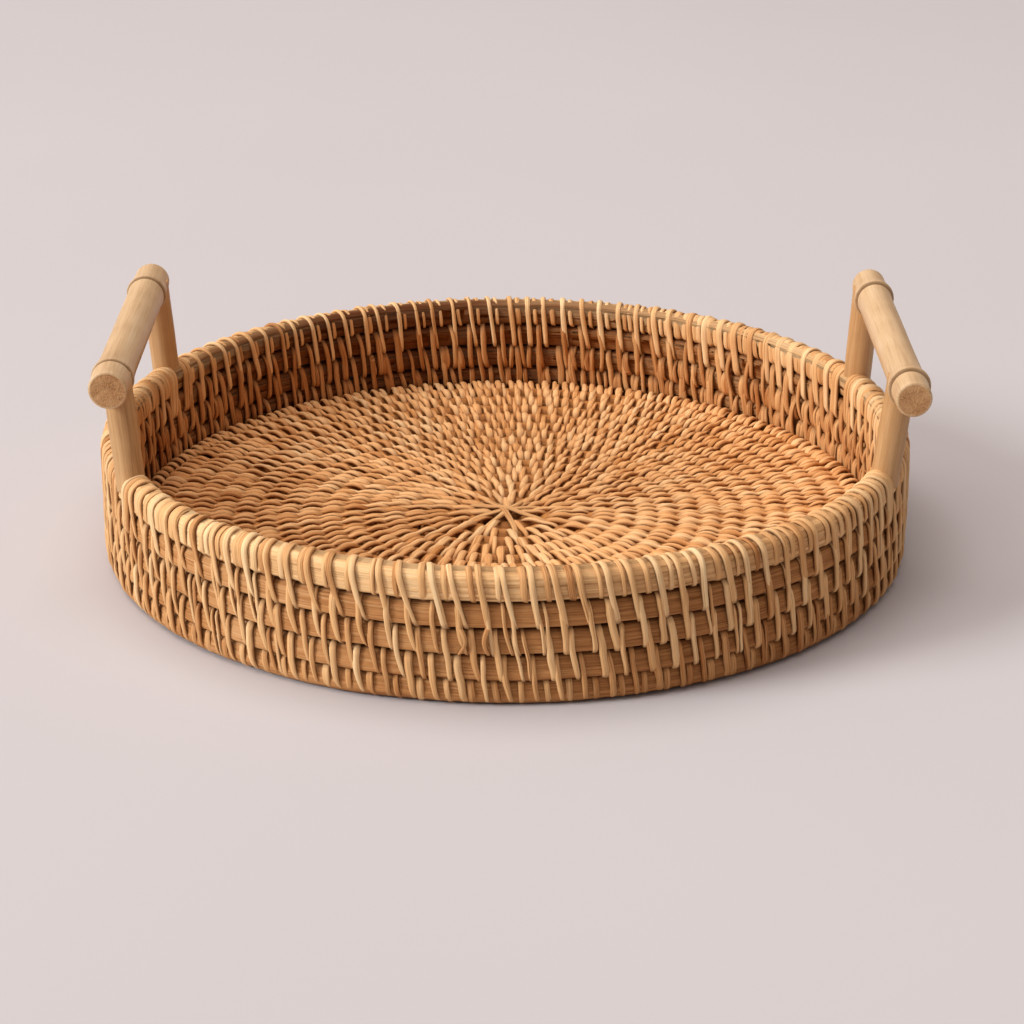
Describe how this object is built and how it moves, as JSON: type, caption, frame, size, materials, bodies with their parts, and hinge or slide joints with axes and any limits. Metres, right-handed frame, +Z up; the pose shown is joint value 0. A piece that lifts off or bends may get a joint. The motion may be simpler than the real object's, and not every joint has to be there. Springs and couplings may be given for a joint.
{
  "type": "round rattan serving tray",
  "caption": "Round coiled-rattan serving tray with a low stitched wall and a raised cane grip bar on posts at each side.",
  "frame": {"origin": "on the resting plane, under the centre of the round tray", "axes": "+Z up; +X towards the right-hand handle; -Y towards the front"},
  "size_m": [0.3, 0.3, 0.0884],
  "materials": {
    "rattan_core": "peeled rattan rod, dry, fine lengthwise fibres",
    "rattan_strip": "split-cane strip, soft satin",
    "floor_strip": "split-cane strip, slightly darker, soft satin",
    "cane_grip": "smooth natural cane, satin, cut end grain",
    "cane_post": "smooth peeled cane, satin",
    "brad_steel": "plain steel wire"
  },
  "bodies": {
    "root": {"rim_hoop": "rattan_core", "wall_hoop_upper": "rattan_core", "wall_hoop_middle": "rattan_core", "wall_hoop_lower": "rattan_core", "foot_hoop": "rattan_core", "floor_coil_inner": "rattan_core", "floor_coil_middle": "rattan_core", "floor_coil_outer": "rattan_core", "rim_binding_front": "rattan_strip", "rim_binding_back": "rattan_strip", "left_handle_lashing": "rattan_strip", "right_handle_lashing": "rattan_strip", "wall_binding_upper": "rattan_strip", "wall_binding_middle": "rattan_strip", "wall_binding_lower": "rattan_strip", "foot_binding": "rattan_strip", "centre_star": "rattan_strip", "floor_stitching": "floor_strip", "left_grip_bar": "cane_grip", "right_grip_bar": "cane_grip", "left_front_post": "cane_post", "left_back_post": "cane_post", "right_front_post": "cane_post", "right_back_post": "cane_post", "left_front_brad": "brad_steel", "left_back_brad": "brad_steel", "right_front_brad": "brad_steel", "right_back_brad": "brad_steel"}
  },
  "joints": []
}
